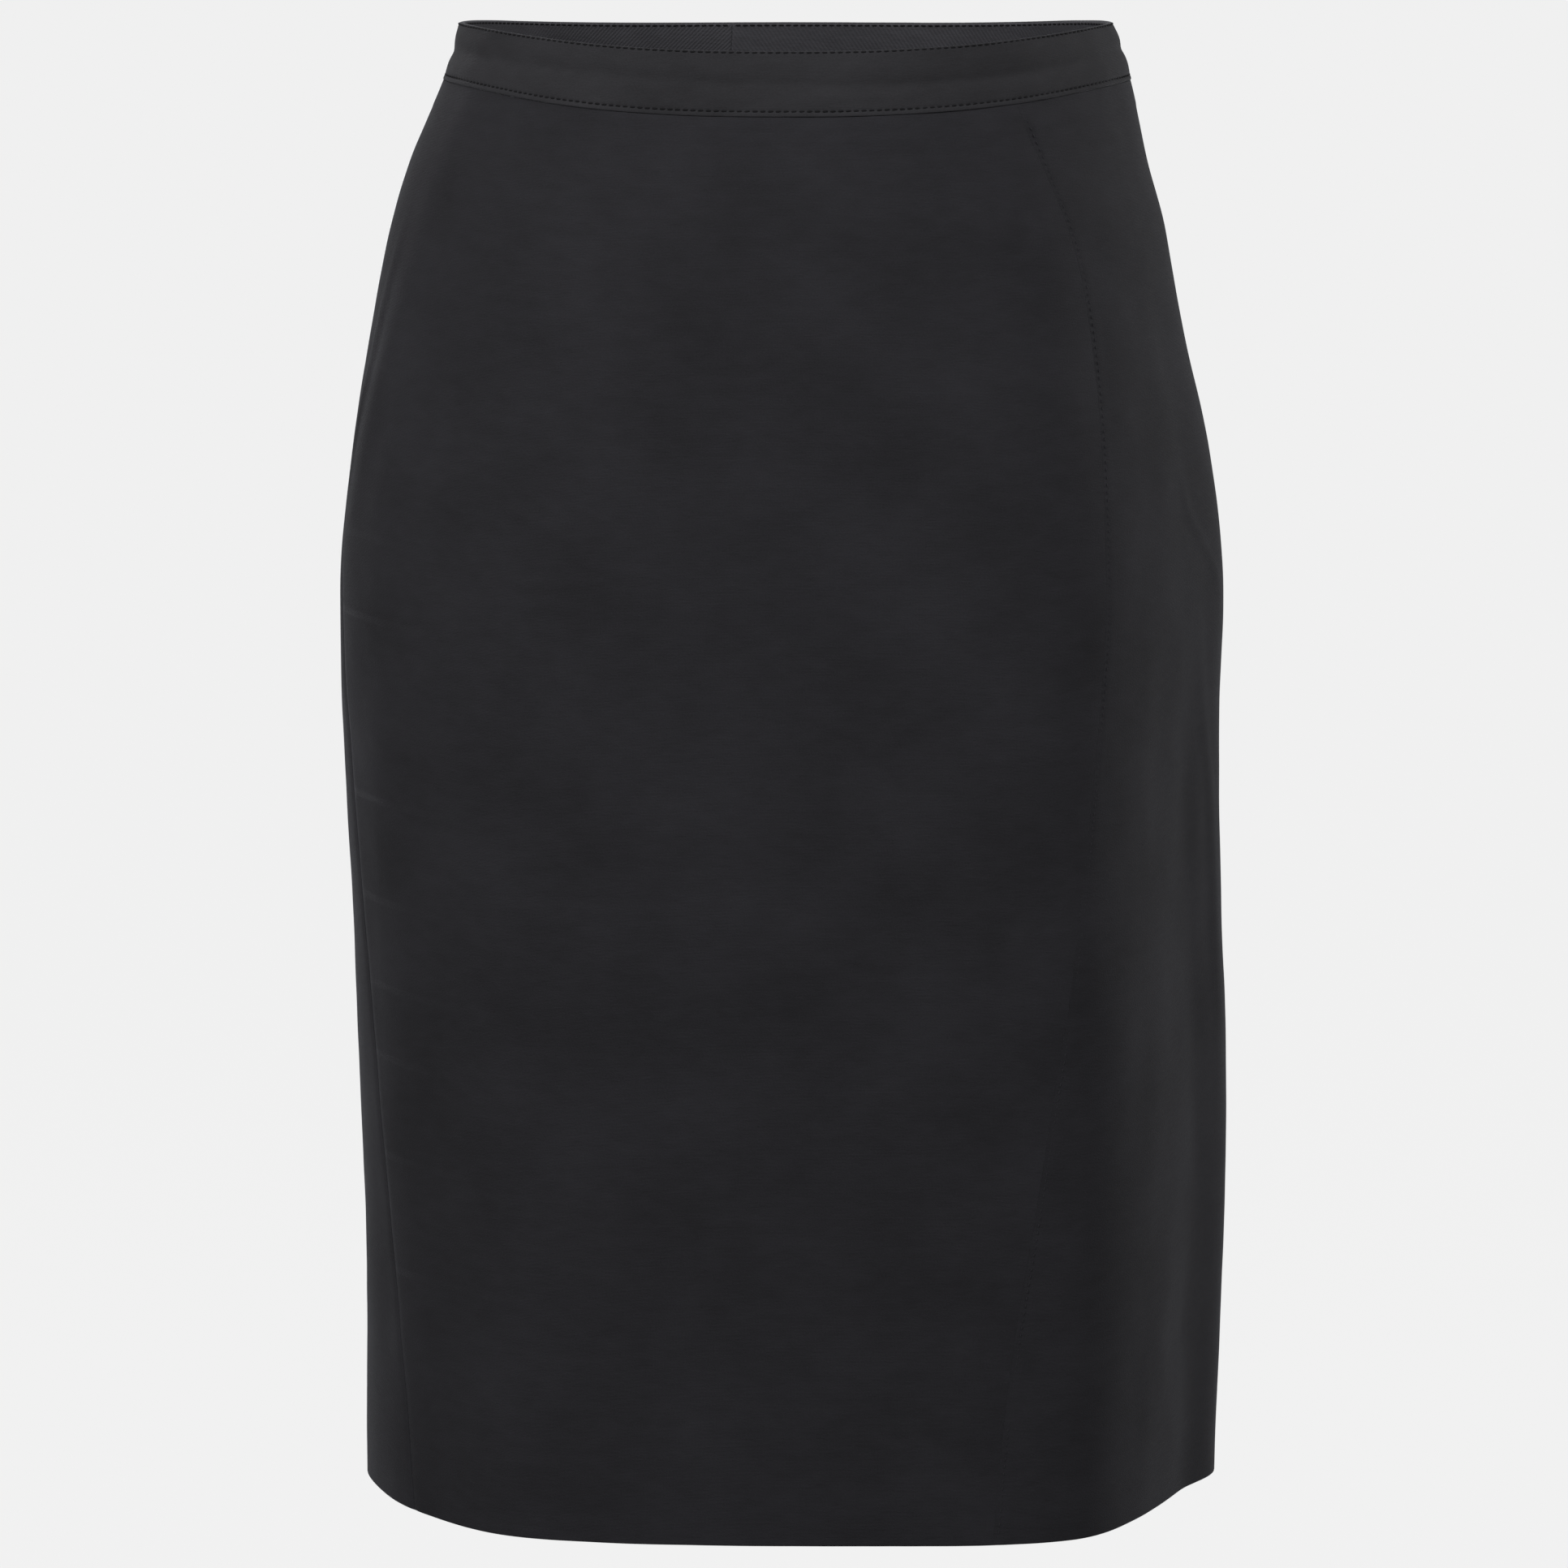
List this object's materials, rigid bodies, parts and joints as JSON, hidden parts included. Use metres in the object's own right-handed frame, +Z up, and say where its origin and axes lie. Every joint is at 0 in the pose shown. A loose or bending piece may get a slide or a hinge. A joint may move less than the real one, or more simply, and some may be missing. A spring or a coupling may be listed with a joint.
{
  "type": "pencil skirt",
  "caption": "Straight knee-length pencil skirt with a shaped waistband, a curved seam down one side of the front and a concealed back zip, held open as when worn.",
  "frame": {"origin": "middle of the waist opening, level with the waistband's top edge at the sides", "axes": "+Z up the skirt's length, -Y to the front, +X to the right of someone who looks at the front"},
  "size_m": [0.3741, 0.2585, 0.6173],
  "materials": {
    "skirt_cloth": "matt woven black suiting with a faint soft sheen",
    "band_cloth": "the same cloth, interfaced and smooth, with a fine twill inside",
    "zip_tape": "fine black knitted tape",
    "zip_metal": "black lacquered metal, satin"
  },
  "bodies": {
    "skirt": {"waistband": "band_cloth", "front_panel": "skirt_cloth", "front_side_panel": "skirt_cloth", "back_left_panel": "skirt_cloth", "back_right_panel": "skirt_cloth", "zip_tape": "zip_tape", "zip_slider": "zip_metal"},
    "pull": {"zip_pull": "zip_metal"}
  },
  "joints": [
    {"name": "pull_swing", "type": "hinge", "parent": "skirt", "child": "pull", "pos_m": [-0.02284, 0.10247, -0.01406], "axis": [0.9969, 0.0791, 0], "range_deg": [0, 150]}
  ]
}
